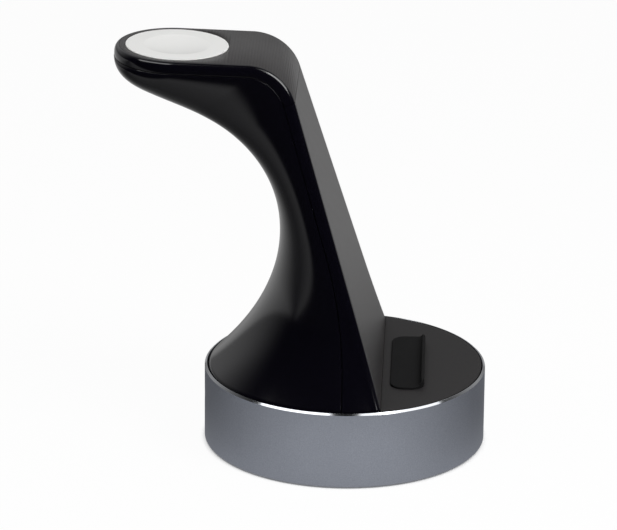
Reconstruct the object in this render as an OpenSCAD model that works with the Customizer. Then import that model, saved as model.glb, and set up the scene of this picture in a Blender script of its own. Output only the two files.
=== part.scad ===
// Wireless charging stand: a round aluminium base, a leaning face that a phone rests on,
// and an arm that carries a watch charger over the back. Millimetres, +Z up, phone side at -Y.
// The origin is the centre of the base, on the surface that the stand rests on.

/* [Base] */
// Outer diameter of the aluminium ring
base_d = 120; // [112:1:132]
// Height of the deck above the table
base_h = 33.6; // [32:0.2:42]
// Wall of the aluminium ring
ring_wall = 2.6; // [2:0.1:3.4]
// Polished chamfer round the ring's top edge
ring_chamfer = 0.9; // [0.5:0.1:1.2]
// Thickness of the deck plate in front of the face
deck_t = 3; // [2.4:0.1:4]
// Thickness of the chassis plate under the deck
chassis_t = 3; // [2.4:0.1:4]
// Thickness of the bottom cover
cover_t = 3.4; // [3.2:0.1:4]
// How far the rubber foot pad stands out below the ring
foot_h = 0.8; // [0.4:0.1:2]

/* [Face and neck] */
// Lean of the phone's face from the table
face_lean = 73.2; // [70:0.2:76]
// Distance of the face's foot in front of the base's centre
face_front = 16.3; // [14:0.1:18]
// Width of the face at its foot, before it flares out to the ring
face_foot_w = 99.6; // [94:0.2:102]
// Width of the face where the bend begins
face_bend_w = 52.4; // [50:0.2:56]
// Height of the flare at the foot of the face
foot_flare_h = 14; // [10:1:20]
// Distance of the neck's waist behind the base's centre
waist_y = 28.2; // [26:0.2:32]
// Height of the neck's waist
waist_z = 94; // [88:0.5:98]

/* [Arm] */
// Height of the arm's top at the centre of the watch disc
arm_h = 174; // [170:0.5:180]
// Distance of the watch disc behind the base's centre
arm_reach = 71.7; // [68:0.5:76]
// Upward tilt of the arm
arm_tilt = 1.5; // [0:0.1:3]
// Width of the arm
arm_w = 52.4; // [51:0.2:56]
// Radius of the bend from the face into the arm
bend_r = 21.4; // [18:0.2:24]

/* [Shells] */
// Wall of the back shell
shell_wall = 2.2; // [1.8:0.1:2.8]
// Wall of the front cover and the arm cover
cover_wall = 2; // [1.6:0.1:2.4]
// Depth of the covers, from the top surface to the seam
seam_depth = 5; // [4.6:0.1:6]
// Radius of the glossy rim round the matt pads
rim_r = 2; // [1.6:0.1:2.4]
// Thickness of the matt pads
pad_t = 0.8; // [0.6:0.1:1.2]
// Gap at the seams between the shells
seam_gap = 0.3; // [0.2:0.05:0.5]

/* [Phone rest] */
// Length of the rubber rest
rest_l = 61; // [56:1:70]
// Width of the rubber rest
rest_w = 14.4; // [13:0.2:17]
// Height of the rest's pad over the deck
rest_pad_h = 0.8; // [0.6:0.1:1.2]
// Height of the rest's lip over the deck
rest_lip_h = 3.7; // [3:0.1:5]
// Deck left bare between the face and the rest
rest_gap = 3.5; // [2:0.1:5]
// Corner radius of the rest
rest_r = 6; // [4:0.2:6.4]

/* [Phone charger] */
// Height of the phone coil's centre up the face
coil_up = 68; // [64:1:72]
// Outer diameter of the phone coil
coil_d = 44; // [40:1:46]
// Inner diameter of the phone coil
coil_in_d = 20; // [18:1:24]
// Thickness of the phone coil
coil_t = 1.2; // [1:0.1:1.6]
// Thickness of the ferrite tile
ferrite_t = 0.8; // [0.6:0.1:1.2]
// Thickness of the carrier plate
carrier_t = 1.6; // [1.2:0.1:2.4]

/* [Watch charger] */
// Diameter of the white watch disc
disc_d = 43.2; // [42:0.1:44.4]
// Diameter of the dish in the watch disc
dish_d = 28; // [26:0.5:29]
// Depth of the dish in the watch disc
dish_deep = 0.9; // [0.6:0.1:1.1]
// How far the watch disc stands proud of the arm's top
disc_proud = 0.3; // [0.1:0.1:0.6]
// Diameter of the watch magnet
magnet_d = 10.4; // [8:0.2:12]
// Thickness of the watch coil
watch_coil_t = 2; // [1.6:0.1:2.4]

/* [Electronics] */
// Length of the main circuit board
board_l = 70; // [68:1:72]
// Width of the main circuit board
board_w = 50; // [48:1:52]
// Thickness of the circuit boards
board_t = 1.6; // [1:0.1:2]
// Room between the steel ballast and the main circuit board
board_gap = 3; // [2.6:0.1:4]
// Radius of the round inlet hole in the ring
inlet_r = 5.6; // [5.2:0.1:6]
// Radius of the inlet's centre pin
inlet_pin_r = 1; // [0.8:0.05:1.2]
// Diameter of the internal leads
lead_d = 2.6; // [2:0.1:3]

/* [Fasteners] */
// Radius of the shank of the case screws
screw_r = 1.5; // [1.2:0.05:1.6]
// Radius of the head of the case screws
screw_head_r = 2.7; // [2.4:0.1:3]
// Height of the head of the case screws
screw_head_h = 1.8; // [1.4:0.1:2]
// Radius of the shank of the small inner screws
pin_screw_r = 1; // [0.8:0.05:1.1]
// Clearance between pieces that pass through one another
clear = 0.2; // [0.15:0.05:0.3]
// Length of a case screw in its boss
screw_bite = 7; // [6:0.5:7.5]
// Length of a board screw in its post
pin_bite = 4; // [3:0.5:4.5]

/* [Hidden] */
$fn = 96;

ring_r = base_d / 2;
// Land left flat inside the chamfer, and the radius of everything that sits inside the ring's top
ring_land = 0.35;
foot_gap = 0.35;
top_in_r = ring_r - ring_chamfer - ring_land;
top_r = top_in_r - foot_gap;
ring_in_r = ring_r - ring_wall;
seat_z = base_h - deck_t;
ledge_z = seat_z - chassis_t;
cover_top_z = foot_h + cover_t;
full = 2 * base_d;

// Side view: the face's direction and its outward normal, and the same for the arm
face_dir = [cos(face_lean), sin(face_lean)];
face_out = [-sin(face_lean), cos(face_lean)];
arm_dir = [cos(arm_tilt), sin(arm_tilt)];
arm_out = [-sin(arm_tilt), cos(arm_tilt)];
foot_pt = [-face_front, base_h];
disc_pt = [arm_reach, arm_h];
function cross2(a, b) = a[0] * b[1] - a[1] * b[0];
bend_turn = face_lean - arm_tilt;
bend_tan = bend_r * tan(bend_turn / 2);
corner_run = cross2(disc_pt - foot_pt, arm_dir) / cross2(face_dir, arm_dir);
face_len = corner_run - bend_tan;
bend_c = foot_pt + face_len * face_dir - bend_r * face_out;
bend_len = bend_r * bend_turn * PI / 180;
bend_end = face_len + bend_len;
bend_end_pt = bend_c + bend_r * arm_out;
disc_run = bend_end + norm(disc_pt - bend_end_pt);
arm_half = arm_w / 2;
tip_run = disc_run + arm_half;

// A point of the side view, p along the outer outline and off below it. Near the foot
// the points of one p lie level with the deck, and at the bend they lie square to the face.
function turned_pt(r, a) = bend_c + r * [cos(a), sin(a)];
function side_pt(p, off) =
    p <= face_len ?
        foot_pt + (p + off * (1 - p / face_len) / tan(face_lean)) * face_dir - off * face_out
    : p <= bend_end ? turned_pt(bend_r - off, 90 + face_lean - (p - face_len) / bend_r * 180 / PI)
    : disc_pt + (p - disc_run) * arm_dir - off * arm_out;

// Seam between the covers and the back shell: upright at the foot, then parallel to the face
seam_fillet = 190;
seam_cross_z = base_h + (face_front - seam_depth / sin(face_lean)) * tan(face_lean);
seam_low_z = seam_cross_z - seam_fillet * tan((90 - face_lean) / 2);
seam_high_z = seam_low_z + seam_fillet * cos(face_lean);
function seam_y(z) =
    z < seam_low_z ? 0
    : z < seam_high_z ? seam_fillet - sqrt(seam_fillet ^ 2 - (z - seam_low_z) ^ 2)
    : (z - seam_cross_z) / tan(face_lean);
function seam_pt(p) = let (s = side_pt(p, seam_depth)) p < face_len ? [seam_y(s[1]), s[1]] : s;

// Half widths along the outline: of the matt pads, of the rim's outside and of the seam
pad_arm_half = arm_half - rim_r;
foot_half = sqrt(top_r ^ 2 - face_front ^ 2) - rim_r;
foot_flare = foot_half - face_foot_w / 2;
side_flare_h = 26;
function ease(z, h) = max(0, 1 - (z - base_h) / h) ^ 2;
function pad_half(p) =
    p <= face_len ? let (q = p / face_len, z = side_pt(p, 0)[1])
        face_foot_w / 2 + (face_bend_w - face_foot_w) / 2 * q + foot_flare * ease(z, foot_flare_h)
    : p <= bend_end ?
        pad_arm_half + (face_bend_w / 2 - pad_arm_half) * (1 - (p - face_len) / bend_len) ^ 2
    : pad_arm_half;
function rim_half(p) = pad_half(p) + rim_r;
function seam_half(p) = rim_half(p)
    + (p < face_len ? (top_r - foot_half - rim_r) * ease(seam_pt(p)[1], side_flare_h) : 0);

// Back of the stand in the side view: two curves that meet upright at the waist
seam_tip = side_pt(tip_run, seam_depth);
back_flare = [-20.7, 19.1];
waist_below = 20.4;
arm_belly = 21;
tip_fall = [-1.3, -23.7];
low_curve = [[top_r, base_h], [top_r, base_h] + back_flare, [waist_y, waist_z - waist_below],
    [waist_y, waist_z]];
high_curve = [[waist_y, waist_z], [waist_y, arm_h - arm_belly], seam_tip + tip_fall, seam_tip];
waist_run = 55;
waist_ease = 15;
function bez(c, u) = c[0] * (1 - u) ^ 3 + 3 * c[1] * u * (1 - u) ^ 2 + 3 * c[2] * u ^ 2 * (1 - u)
    + c[3] * u ^ 3;
function bez_way(c, u) = (c[1] - c[0]) * (1 - u) ^ 2 + 2 * (c[2] - c[1]) * u * (1 - u)
    + (c[3] - c[2]) * u ^ 2;
// Pairs of [length along the curve, u], so that a curve can be walked evenly
curve_steps = 40;
function run_table(c) = [for (i = 0, s = 0; i <= curve_steps;
    s = s + norm(bez(c, (i + 1) / curve_steps) - bez(c, i / curve_steps)), i = i + 1) [s, i / curve_steps]];
low_table = run_table(low_curve);
high_table = run_table(high_curve);
low_len = low_table[curve_steps][0];
high_len = high_table[curve_steps][0];
// Length along the back that belongs to a run along the front, its pace eased at the waist
low_pace = low_len / waist_run;
high_pace = high_len / (tip_run - waist_run);
function back_run(p) = let (d = p - waist_run) low_len + (d < -waist_ease ? low_pace * d
    : d > waist_ease ? high_pace * d
    : low_pace * d + (high_pace - low_pace) * (d + waist_ease) ^ 2 / (4 * waist_ease));
function back_u(p) = back_run(p) < low_len ? lookup(back_run(p), low_table)
    : lookup(back_run(p) - low_len, high_table);
function back_curve(p) = back_run(p) < low_len ? low_curve : high_curve;
function back_pt(p) = bez(back_curve(p), back_u(p));
// How far the body reaches behind the seam, and that reach inside a wall of thickness t
function reach(p) = norm(back_pt(p) - seam_pt(p));
function wall_reach(p, t) =
    let (way = bez_way(back_curve(p), back_u(p)), out = [way[1], -way[0]] / norm(way),
        dir = (back_pt(p) - seam_pt(p)) / reach(p))
    reach(p) - t / (out * dir);

// Stations along the outline, and angles round the arm's tip
neck_n = 16;
bend_n = 8;
arm_n = 4;
tip_n = 7;
arc_n = 22;
neck_runs = [for (i = [0:neck_n]) face_len * i / neck_n];
arm_runs = concat([for (i = [0:bend_n]) face_len + bend_len * i / bend_n],
    [for (i = [1:arm_n]) bend_end + (disc_run - bend_end) * i / arm_n]);
all_runs = concat(neck_runs, [for (i = [1:len(arm_runs) - 1]) arm_runs[i]]);
tip_angles = [for (i = [1:tip_n - 1]) 90 * i / tip_n];

// Screw with its head at z = 0 and below, and its shank going up
module screw(r, head_r, head_h, l) {
    difference() {
        union() {
            translate([0, 0, -head_h]) cylinder(r = head_r, h = head_h);
            cylinder(r = r, h = l);
        }
        translate([0, 0, -head_h - clear]) cylinder(r = head_r / 2, h = head_h / 2 + clear, $fn = 6);
    }
}

// Places children on the face or on the arm: their z = 0 lies off below the outer surface
module on_face(up, off) {
    s = foot_pt + up * face_dir - off * face_out;
    translate([0, s[0], s[1]]) rotate([face_lean, 0, 0]) children();
}
module on_arm(p, off) {
    s = disc_pt + (p - disc_run) * arm_dir - off * arm_out;
    translate([0, s[0], s[1]]) rotate([arm_tilt, 0, 0]) children();
}

// Triangles between two closed rings of n points, whose first points are a and b
function band(a, b, n) = [for (j = [0:n - 1]) let (k = (j + 1) % n)
    each [[a + j, b + j, b + k], [a + j, b + k, a + k]]];
module loft(rings) {
    n = len(rings[0]);
    last = (len(rings) - 1) * n;
    polyhedron([for (r = rings) each r], concat([[for (j = [0:n - 1]) j]],
        [for (i = [0:len(rings) - 2]) each band(i * n, (i + 1) * n, n)],
        [[for (j = [n - 1:-1:0]) last + j]]));
}
function flip_x(v) = [for (i = [len(v) - 1:-1:0]) [-v[i][0], v[i][1], v[i][2]]];
function at_x(x, s) = [x, s[0], s[1]];
function drop(ring, h) = [for (v = ring) [v[0], v[1], v[2] - h]];

// Cross-section of a cover as pairs [distance in from the outside, depth below the top]
rim_n = 4;
cover_profile = concat([[rim_r - clear / 2, pad_t], [rim_r - clear / 2, 0]],
    [for (i = [1:rim_n]) let (a = 90 * i / rim_n, r = rim_r - clear / 2)
        [r * (1 - sin(a)), r * (1 - cos(a))]]);
plate_off = pad_t + cover_wall;

// Side wall of a cover at run p: share t of the way from the rim down to the seam
function wall_x(p, t) = seam_half(p) - (seam_half(p) - rim_half(p)) * (1 - t) ^ 2;
function wall_pt(p, t) = side_pt(p, rim_r) + (seam_pt(p) - side_pt(p, rim_r)) * t;
function wall_len(p) = norm(seam_pt(p) - side_pt(p, rim_r));
function wall_end(p) = 1 - seam_gap / wall_len(p);
function plate_share(p) = norm(side_pt(p, plate_off) - side_pt(p, rim_r)) / wall_len(p);
wall_n = 4;
function front_ring(p) = let (end = wall_end(p), start = plate_share(p),
    right = concat(
        [for (c = cover_profile) at_x(rim_half(p) - c[0], side_pt(p, c[1]))],
        [for (i = [1:wall_n]) let (t = end * i / wall_n) at_x(wall_x(p, t), wall_pt(p, t))],
        [for (i = [wall_n:-1:0]) let (t = start + (end - start) * i / wall_n)
            at_x(wall_x(p, t) - cover_wall, wall_pt(p, t))]))
    concat(right, flip_x(right));
function pad_ring(p) = let (w = pad_half(p), top = side_pt(p, 0), low = side_pt(p, pad_t))
    [at_x(w, top), at_x(w, low), at_x(-w, low), at_x(-w, top)];

// Rows along the arm's edge, from the bend's seam round the tip and back, inset from the outside
function arm_edge(inset, off, start) = let (right = concat(
        [for (i = [0:len(arm_runs) - 1]) let (p = i == 0 ? start : arm_runs[i])
            at_x(rim_half(p) - inset, side_pt(p, off))],
        [for (a = tip_angles) at_x((arm_half - inset) * cos(a),
            side_pt(disc_run + (arm_half - inset) * sin(a), off))]))
    concat(right, [at_x(0, side_pt(tip_run - inset, off))], flip_x(right));
// Closed tray: rows joined along the arm's edge, with a sheet across the first and the last row
module tray(rows) {
    n = len(rows[0]);
    k = len(rows) - 1;
    m = (n - 1) / 2;
    side = [for (i = [0:k - 1], j = [0:n - 2]) let (a = i * n + j, b = a + n)
        each [[a, b + 1, b], [a, a + 1, b + 1]]];
    function across(r, j) = let (a = r + j, b = r + n - 1 - j)
        j == m - 1 ? [[a, b, a + 1]] : [[a, b - 1, a + 1], [a, b, b - 1]];
    function turned(f) = [for (t = f) [t[2], t[1], t[0]]];
    sheet_top = [for (j = [0:m - 1]) each across(0, j)];
    sheet_low = [for (j = [0:m - 1]) each turned(across(k * n, j))];
    ends = [concat([for (i = [0:k]) i * n], [for (i = [k:-1:0]) i * n + n - 1])];
    polyhedron([for (r = rows) each r], concat(side, sheet_top, sheet_low, ends));
}

// Back shell: half-ellipse sections from one seam, round the back, to the other
function arc_ring(half, s, b) = [for (i = [0:arc_n]) let (a = 180 * i / arc_n)
    at_x(half * cos(a), s + (b - s) * sin(a))];
function back_arc(p, t) = let (s = seam_pt(p), dir = (back_pt(p) - s) / reach(p))
    arc_ring(seam_half(p) - t, s, s + dir * (t == 0 ? reach(p) : wall_reach(p, t)));
function tip_arc(a, t) = let (r = arm_half - t, s = side_pt(disc_run + r * sin(a), seam_depth),
    p = disc_run + arm_half * sin(a), share = t == 0 ? 1 : wall_reach(disc_run, t) / reach(disc_run))
    arc_ring(r * cos(a), s, s + (back_pt(p) - seam_pt(p)) * share);
function back_to_front(v) = [for (i = [len(v) - 1:-1:0]) v[i]];
function shell_ring(out, in) = concat(out, back_to_front(in));
module shell_skin() {
    neck = [for (p = all_runs) shell_ring(back_arc(p, 0), back_arc(p, shell_wall))];
    rings = concat([drop(neck[0], deck_t)], neck,
        [for (a = tip_angles) shell_ring(tip_arc(a, 0), tip_arc(a, shell_wall))]);
    n = len(rings[0]);
    m = n / 2;
    last = (len(rings) - 1) * n;
    pole = len(rings) * n;
    points = concat([for (r = rings) each r],
        [at_x(0, seam_tip), at_x(0, side_pt(tip_run - shell_wall, seam_depth))]);
    outside = [for (j = [0:m - 2]) [last + j, pole, last + j + 1]];
    inside = [for (j = [m:n - 2]) [last + j, pole + 1, last + j + 1]];
    lips = [[last + m - 1, pole, pole + 1], [last + m - 1, pole + 1, last + m],
        [last + n - 1, pole + 1, pole], [last + n - 1, pole, last]];
    polyhedron(points, concat([[for (j = [0:n - 1]) j]],
        [for (i = [0:len(rings) - 2]) each band(i * n, (i + 1) * n, n)], outside, inside, lips));
}
// The space inside the shells, reaching half way into their walls, which trims bosses and ribs
module body_core() {
    t = shell_wall / 2;
    top_off = pad_t + cover_wall / 2;
    function closed(arc, x, s) = concat(arc, [at_x(-x, s), at_x(x, s)]);
    neck = [for (p = all_runs)
        closed(back_arc(p, t), rim_half(p) - cover_wall / 2, side_pt(p, top_off))];
    loft(concat([drop(neck[0], deck_t)], neck, [for (a = tip_angles) let (r = arm_half - t)
        closed(tip_arc(a, t), r * cos(a), side_pt(disc_run + r * sin(a), top_off))]));
}

// Places of the case screws and of the bosses that they go into
boss_r = 3.2;
boss_h = 9;
fin_t = 1.2;
front_boss_y = plate_off / sin(face_lean) - face_front + 2.7;
front_bosses = [[36, front_boss_y], [-36, front_boss_y]];
shell_bosses = [[37, 20], [-37, 20], [0, 42]];
pin_head_r = 1.9;
pin_head_h = 1.1;
post_r = 2.6;
post_x = 20;
post_drop = 17.9;
post_up = face_len - post_drop;
arm_post_x = 17;
arm_post_run = bend_end + 4.2;
pilot_r = pin_screw_r + clear;

// Boss on a case screw, with fins that tie it to the wall beside it
module foot_boss(at, way) {
    translate([at[0], at[1], seat_z]) {
        cylinder(r = boss_r, h = boss_h, $fn = 32);
        for (turn = [-24, 24]) hull() {
            cylinder(r = fin_t / 2, h = boss_h, $fn = 12);
            rotate([0, 0, way + turn]) translate([14, 0, 0]) cylinder(r = fin_t / 2, h = boss_h, $fn = 12);
        }
    }
}
module foot_pilot(at) {
    translate([at[0], at[1], seat_z - clear]) cylinder(r = screw_r + clear, h = boss_h - 1, $fn = 32);
}
// Post under a cover's plate, with two fins, reaching down to the back of the shell
module post(x) {
    translate([x, 0, -full]) {
        cylinder(r = post_r, h = full, $fn = 32);
        for (turn = [0, 90]) rotate([0, 0, turn]) hull() for (y = [-post_r - 2, post_r + 2])
            translate([0, y, 0]) cylinder(r = fin_t / 2, h = full - 6, $fn = 12);
    }
}
module post_pilot(x) {
    translate([x, 0, -8]) cylinder(r = pilot_r, h = 12, $fn = 24);
}
module cover_screw_hole(x) {
    translate([x, 0, -1]) cylinder(r = pilot_r, h = plate_off, $fn = 24);
    translate([x, 0, cover_wall - pin_head_h - clear])
        cylinder(r = pin_head_r + clear, h = plate_off, $fn = 32);
}

module base_ring() color("#7d8390") {
    difference() {
        rotate_extrude() polygon([[ring_in_r, foot_h], [ring_r - 0.3, foot_h], [ring_r, foot_h + 0.3],
            [ring_r, base_h - ring_chamfer], [ring_r - ring_chamfer, base_h], [top_in_r, base_h],
            [top_in_r, ledge_z], [ring_in_r, ledge_z]]);
        translate([0, 0, inlet_z]) rotate([-90, 0, 0]) cylinder(r = inlet_r, h = full);
    }
}

// The inlet fits under the heads of the case screws, and carries the level of the circuit board;
// the ballast fills what is left below
jack_h = 10.8;
jack_w = 11;
board_top = ledge_z - screw_head_h - clear - jack_h;
board_z = board_top - board_t;
ballast_t = board_z - board_gap - cover_top_z;
inlet_z = board_top + jack_h / 2;
case_posts = [[32, 32], [-32, 32], [32, -32], [-32, -32]];
board_posts = [[32, 6], [-32, 6], [17, 42], [-17, 42]];
deck_pegs = [[0, -50], [40, -26], [-40, -26]];
post_low_r = 3.2;
post_high_r = 4.2;
peg_r = 2;
skirt_wall = 1.8;
skirt_r = ring_in_r - 2 * clear;
lead_slot = [44, 12];
lead_slot_y = 7;

module slot(l, w, h) {
    translate([-(l - w) / 2, -w / 2, 0]) cube([l - w, w, h]);
    for (x = [-1, 1]) translate([x * (l - w) / 2, 0, 0]) cylinder(d = w, h = h);
}
// Plate with round corners
module round_plate(l, w, h, r) {
    translate([-l / 2 + r, -w / 2, 0]) cube([l - 2 * r, w, h]);
    translate([-l / 2, -w / 2 + r, 0]) cube([l, w - 2 * r, h]);
    for (x = [-1, 1], y = [-1, 1]) translate([x * (l / 2 - r), y * (w / 2 - r), 0])
        cylinder(r = r, h = h);
}

module base_chassis() color("#202124") {
    difference() {
        union() {
            translate([0, 0, ledge_z]) cylinder(r = top_r, h = chassis_t);
            difference() {
                translate([0, 0, cover_top_z]) cylinder(r = skirt_r, h = ledge_z - cover_top_z);
                translate([0, 0, cover_top_z - 1])
                    cylinder(r = skirt_r - skirt_wall, h = ledge_z - cover_top_z + 1);
            }
            for (c = case_posts) translate([c[0], c[1], 0]) {
                translate([0, 0, cover_top_z]) cylinder(r = post_low_r, h = ledge_z - cover_top_z);
                translate([0, 0, cover_top_z + ballast_t])
                    cylinder(r = post_high_r, h = ledge_z - cover_top_z - ballast_t);
            }
            for (c = board_posts) translate([c[0], c[1], board_top])
                cylinder(r = post_r, h = ledge_z - board_top);
        }
        for (c = case_posts) translate([c[0], c[1], cover_top_z - 1])
            cylinder(r = screw_r + clear, h = 9);
        for (c = board_posts) translate([c[0], c[1], board_top - 1]) cylinder(r = pilot_r, h = 6);
        for (c = concat(front_bosses, shell_bosses)) translate([c[0], c[1], ledge_z - 1])
            cylinder(r = screw_r + clear, h = chassis_t + 2);
        for (c = deck_pegs) translate([c[0], c[1], ledge_z - 1])
            cylinder(r = peg_r + clear, h = chassis_t + 2);
        translate([0, lead_slot_y, ledge_z - 1]) slot(lead_slot[0], lead_slot[1], chassis_t + 2);
        translate([-jack_w / 2 - 1, skirt_r - 6, cover_top_z - 1])
            cube([jack_w + 2, 10, inlet_z + jack_h / 2 + 1 - cover_top_z + 1]);
    }
}

module base_deck() color("#353435") {
    difference() {
        union() {
            intersection() {
                translate([0, 0, seat_z]) cylinder(r = top_r, h = deck_t);
                translate([-full, -full - face_front - seam_gap, 0]) cube(full * [2, 1, 1]);
            }
            for (c = deck_pegs) translate([c[0], c[1], ledge_z]) cylinder(r = peg_r, h = chassis_t + 0.5);
        }
        translate([0, rest_y, base_h - rest_sink])
            round_plate(rest_l + 2 * rest_clear, rest_w + 2 * rest_clear, deck_t, rest_r + rest_clear);
    }
}

// Rubber rest: a thin pad that curls up into a lip on its phone side
rest_sink = 1;
rest_clear = 0.1;
rest_back_y = -face_front - rest_gap;
rest_y = rest_back_y - rest_w / 2;
lip_w = 1.3;
lip_curl = 5.5;
lip_round = 0.4;
lip_n = 12;
module rest_profile() {
    top = rest_sink + rest_pad_h;
    rise = rest_lip_h - rest_pad_h;
    lip = [for (i = [0:lip_n]) let (a = 90 * i / lip_n)
        [rest_w - lip_w - lip_curl + lip_curl * sin(a), top + rise * (1 - cos(a)) ^ 1.2]];
    polygon(concat([[0, 0], [0, top - 0.3], [0.3, top]], lip,
        [[rest_w - lip_round - 0.3, rest_sink + rest_lip_h],
        [rest_w - 0.3, rest_sink + rest_lip_h - lip_round], [rest_w, rest_sink], [rest_w, 0]]));
}
module phone_rest() color("#1f1f20") {
    intersection() {
        translate([0, rest_y, base_h - rest_sink]) round_plate(rest_l, rest_w, 2 * deck_t + rest_lip_h, rest_r);
        translate([rest_l / 2, rest_back_y, base_h - rest_sink]) rotate([0, 0, 180])
            rotate([90, 0, 90]) linear_extrude(rest_l) rest_profile();
    }
}

foot_r = ring_in_r - 1.4;
foot_sink = 0.5;
web_t = 1;
module bottom_cover() color("#232427") {
    difference() {
        translate([0, 0, foot_h]) cylinder(r = skirt_r, h = cover_t);
        translate([0, 0, foot_h - 1]) cylinder(r = foot_r + clear, h = foot_sink + 1);
        for (c = case_posts) translate([c[0], c[1], 0]) {
            cylinder(r = screw_r + clear, h = full);
            cylinder(r = screw_head_r + clear, h = cover_top_z - web_t);
        }
    }
}
module foot_pad() color("#111112") {
    cylinder(r1 = foot_r - 0.3, r2 = foot_r, h = 0.3);
    translate([0, 0, 0.3]) cylinder(r = foot_r, h = foot_h + foot_sink - 0.3);
}
module bottom_screws() color("#8c9096") {
    for (c = case_posts) translate([c[0], c[1], cover_top_z - web_t])
        screw(screw_r, screw_head_r, screw_head_h, web_t + screw_bite);
}
ballast_r = 51;
module ballast_plate() color("#6f7377") {
    translate([0, 0, cover_top_z]) difference() {
        cylinder(r = ballast_r, h = ballast_t);
        for (c = case_posts) translate([c[0], c[1], -1]) cylinder(r = post_low_r + clear, h = ballast_t + 2);
        translate([0, 0, -1]) cylinder(r = 9, h = ballast_t + 2);
    }
}

board_y = 27;
board_r = skirt_r - skirt_wall - 1.5;
module main_board() color("#1c5a36") {
    translate([0, 0, board_z]) difference() {
        intersection() {
            translate([-board_l / 2, board_y - board_w / 2, 0]) cube([board_l, board_w, board_t]);
            cylinder(r = board_r, h = board_t);
        }
        for (c = case_posts) translate([c[0], c[1], -1]) cylinder(r = post_high_r + 2 * clear, h = board_t + 2);
        for (c = board_posts) translate([c[0], c[1], -1]) cylinder(r = pilot_r, h = board_t + 2);
    }
}
// Parts on the board: [x, y, length, width, height] of the blocks, [x, y, radius, height] of the rounds
board_blocks = [[-4, 22, 9, 9, 1.4], [14, 26, 6, 6, 1.2], [-18, 26, 12, 12, 5], [24, 24, 7, 5, 2]];
board_rounds = [[-30, 20, 4, 8], [-4, 34, 3.2, 7], [12, 36, 3.2, 7], [26, 16, 4, 6]];
module board_parts() color("#3b3d40") {
    for (b = board_blocks) translate([b[0] - b[2] / 2, b[1] - b[3] / 2, board_top]) cube([b[2], b[3], b[4]]);
    for (b = board_rounds) translate([b[0], b[1], board_top]) cylinder(r = b[2], h = b[3]);
}
socket_x = 17;
socket_y = 9;
socket_size = [8, 6, 6];
socket_top = board_top + socket_size[2];
module board_connectors() color("#e6e2d6") {
    for (x = [-1, 1]) translate([x * socket_x - socket_size[0] / 2, socket_y - socket_size[1] / 2, board_top])
        cube(socket_size);
}
module board_screws() color("#8c9096") {
    for (c = board_posts) translate([c[0], c[1], board_z])
        screw(pin_screw_r, pin_head_r, pin_head_h, board_t + pin_bite);
}
// Power inlet: a block on the board with a round mouth that faces the hole in the ring
jack_front = ring_in_r - 2.6;
jack_l = 14;
jack_mouth_r = 2.9;
nose_l = 1.8;
jack_web = 2;
module dc_inlet() color("#17181a") {
    difference() {
        union() {
            translate([-jack_w / 2, jack_front - jack_l, board_top]) cube([jack_w, jack_l, jack_h]);
            translate([0, jack_front, inlet_z]) rotate([-90, 0, 0]) cylinder(r = 4.6, h = nose_l);
        }
        translate([0, jack_front - jack_l + jack_web, inlet_z]) rotate([-90, 0, 0])
            cylinder(r = jack_mouth_r, h = jack_l);
        translate([0, jack_front, inlet_z]) rotate([-90, 0, 0]) cylinder(r = jack_mouth_r, h = nose_l + 1);
    }
}
module inlet_pin() color("#c9a64f") {
    translate([0, jack_front - jack_l + jack_web, inlet_z]) rotate([-90, 0, 0])
        cylinder(r = inlet_pin_r, h = jack_l - jack_web - 0.5);
}

module back_shell() color("#101113") {
    difference() {
        union() {
            shell_skin();
            intersection() {
                union() {
                    for (c = shell_bosses) foot_boss(c, atan2(c[1], c[0]));
                    on_face(post_up, plate_off) for (x = [-1, 1]) post(x * post_x);
                    on_arm(arm_post_run, plate_off) for (x = [-1, 1]) post(x * arm_post_x);
                }
                body_core();
            }
        }
        for (c = shell_bosses) foot_pilot(c);
        on_face(post_up, plate_off) for (x = [-1, 1]) post_pilot(x * post_x);
        on_arm(arm_post_run, plate_off) for (x = [-1, 1]) post_pilot(x * arm_post_x);
    }
}

// Bosses on the cover's plate that carry the coil carrier
air = 0.1;
coil_off = plate_off + air;
tile_off = coil_off + coil_t;
platform_h = 1;
carrier_off = tile_off + ferrite_t + platform_h;
carrier_x = 27;
carrier_y = 15;
carrier_boss_r = 2.6;
module carrier_bosses() {
    h = carrier_off - plate_off;
    on_face(coil_up, carrier_off) for (x = [-1, 1], y = [-1, 1]) translate([x * carrier_x, y * carrier_y, 0])
        difference() {
            union() {
                cylinder(r = carrier_boss_r, h = h + cover_wall / 2, $fn = 32);
                hull() for (s = [0, 1]) translate([0, y * s * 6, s * h / 2])
                    cylinder(r = fin_t / 2, h = h + cover_wall / 2 - s * h / 2, $fn = 12);
            }
            translate([0, 0, -1]) cylinder(r = pilot_r, h = h + 1.8, $fn = 24);
        }
}
module front_cover() color("#141518") {
    difference() {
        union() {
            loft(concat([drop(front_ring(0), deck_t)], [for (p = neck_runs) front_ring(p)]));
            intersection() {
                for (c = front_bosses) foot_boss(c, 270);
                body_core();
            }
            carrier_bosses();
        }
        for (c = front_bosses) foot_pilot(c);
        on_face(post_up, plate_off) for (x = [-1, 1]) cover_screw_hole(x * post_x);
    }
}
module face_pad() color("#58585a") {
    loft([for (p = neck_runs) pad_ring(p)]);
}

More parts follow.
